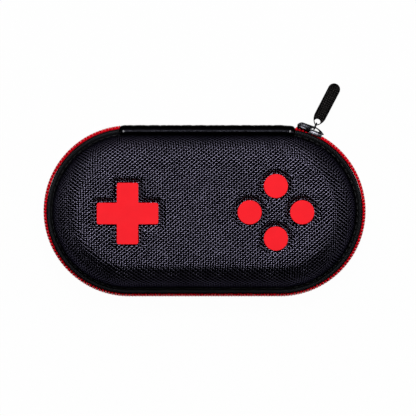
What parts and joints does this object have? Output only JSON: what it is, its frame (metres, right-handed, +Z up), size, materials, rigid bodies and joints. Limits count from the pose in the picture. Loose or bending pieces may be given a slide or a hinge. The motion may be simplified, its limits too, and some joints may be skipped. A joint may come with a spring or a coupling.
{
  "type": "controller carrying case",
  "caption": "Oblong hard-shell zip case with round ends, red zipper teeth, a cloth hinge at the back, and a raised red cross and round patches on the lid.",
  "frame": {"origin": "middle of the flat underside of the base", "axes": "+X along the case towards the zip pull's end, +Y towards the cloth hinge, +Z up out of the lid"},
  "size_m": [0.1598, 0.1057, 0.0464],
  "materials": {
    "shell_weave": "coarse black nylon weave laminated over moulded foam",
    "red_rubber": "flat matte red moulded rubber",
    "zip_tape": "fine black woven tape",
    "zip_teeth": "glossy red nylon teeth",
    "binding_tape": "ribbed black binding tape",
    "hinge_cloth": "smooth black coated cloth, slightly shiny",
    "lining_cloth": "brushed black lining",
    "pocket_mesh": "open black knitted mesh",
    "elastic_web": "ribbed black elastic",
    "slider_metal": "polished black nickel",
    "tab_rubber": "black rubber with a fine crosshatch"
  },
  "bodies": {
    "base": {"base_shell": "shell_weave", "base_zip_tape": "zip_tape", "base_zip_teeth": "zip_teeth", "base_inner_binding": "binding_tape", "hinge_cover": "hinge_cloth", "hinge_lining": "lining_cloth", "hold_down_strap": "elastic_web", "strap_patch_back": "elastic_web", "strap_patch_front": "elastic_web"},
    "lid": {"lid_shell": "shell_weave", "dpad_patch": "red_rubber", "button_patch_top": "red_rubber", "button_patch_right": "red_rubber", "button_patch_bottom": "red_rubber", "button_patch_left": "red_rubber", "lid_zip_tape": "zip_tape", "lid_zip_teeth": "zip_teeth", "lid_inner_binding": "binding_tape", "mesh_pocket": "pocket_mesh", "mesh_pocket_hem": "binding_tape"},
    "slider": {"zip_slider": "slider_metal"},
    "link": {"pull_link": "slider_metal"},
    "tab": {"pull_tab": "tab_rubber"}
  },
  "joints": [
    {"name": "lid_hinge", "type": "hinge", "parent": "base", "child": "lid", "pos_m": [0, 0.0428, 0.024], "axis": [-1, 0, 0], "range_deg": [0, 100], "deforming": ["hinge_cover", "hinge_lining", "lid_zip_tape"]},
    {"name": "zip_travel", "type": "hinge", "parent": "base", "child": "slider", "pos_m": [0.0375, 0, 0.024], "axis": [0, 0, 1], "range_deg": [-149, 0], "deforming": ["lid_zip_teeth", "base_zip_teeth"]},
    {"name": "link_swing", "type": "hinge", "parent": "slider", "child": "link", "pos_m": [0.05435, 0.04055, 0.024], "axis": [0, 0, 1], "range_deg": [-35, 35]},
    {"name": "tab_swing", "type": "hinge", "parent": "link", "child": "tab", "pos_m": [0.05554, 0.04342, 0.024], "axis": [0, 0, 1], "range_deg": [-25, 25]}
  ]
}
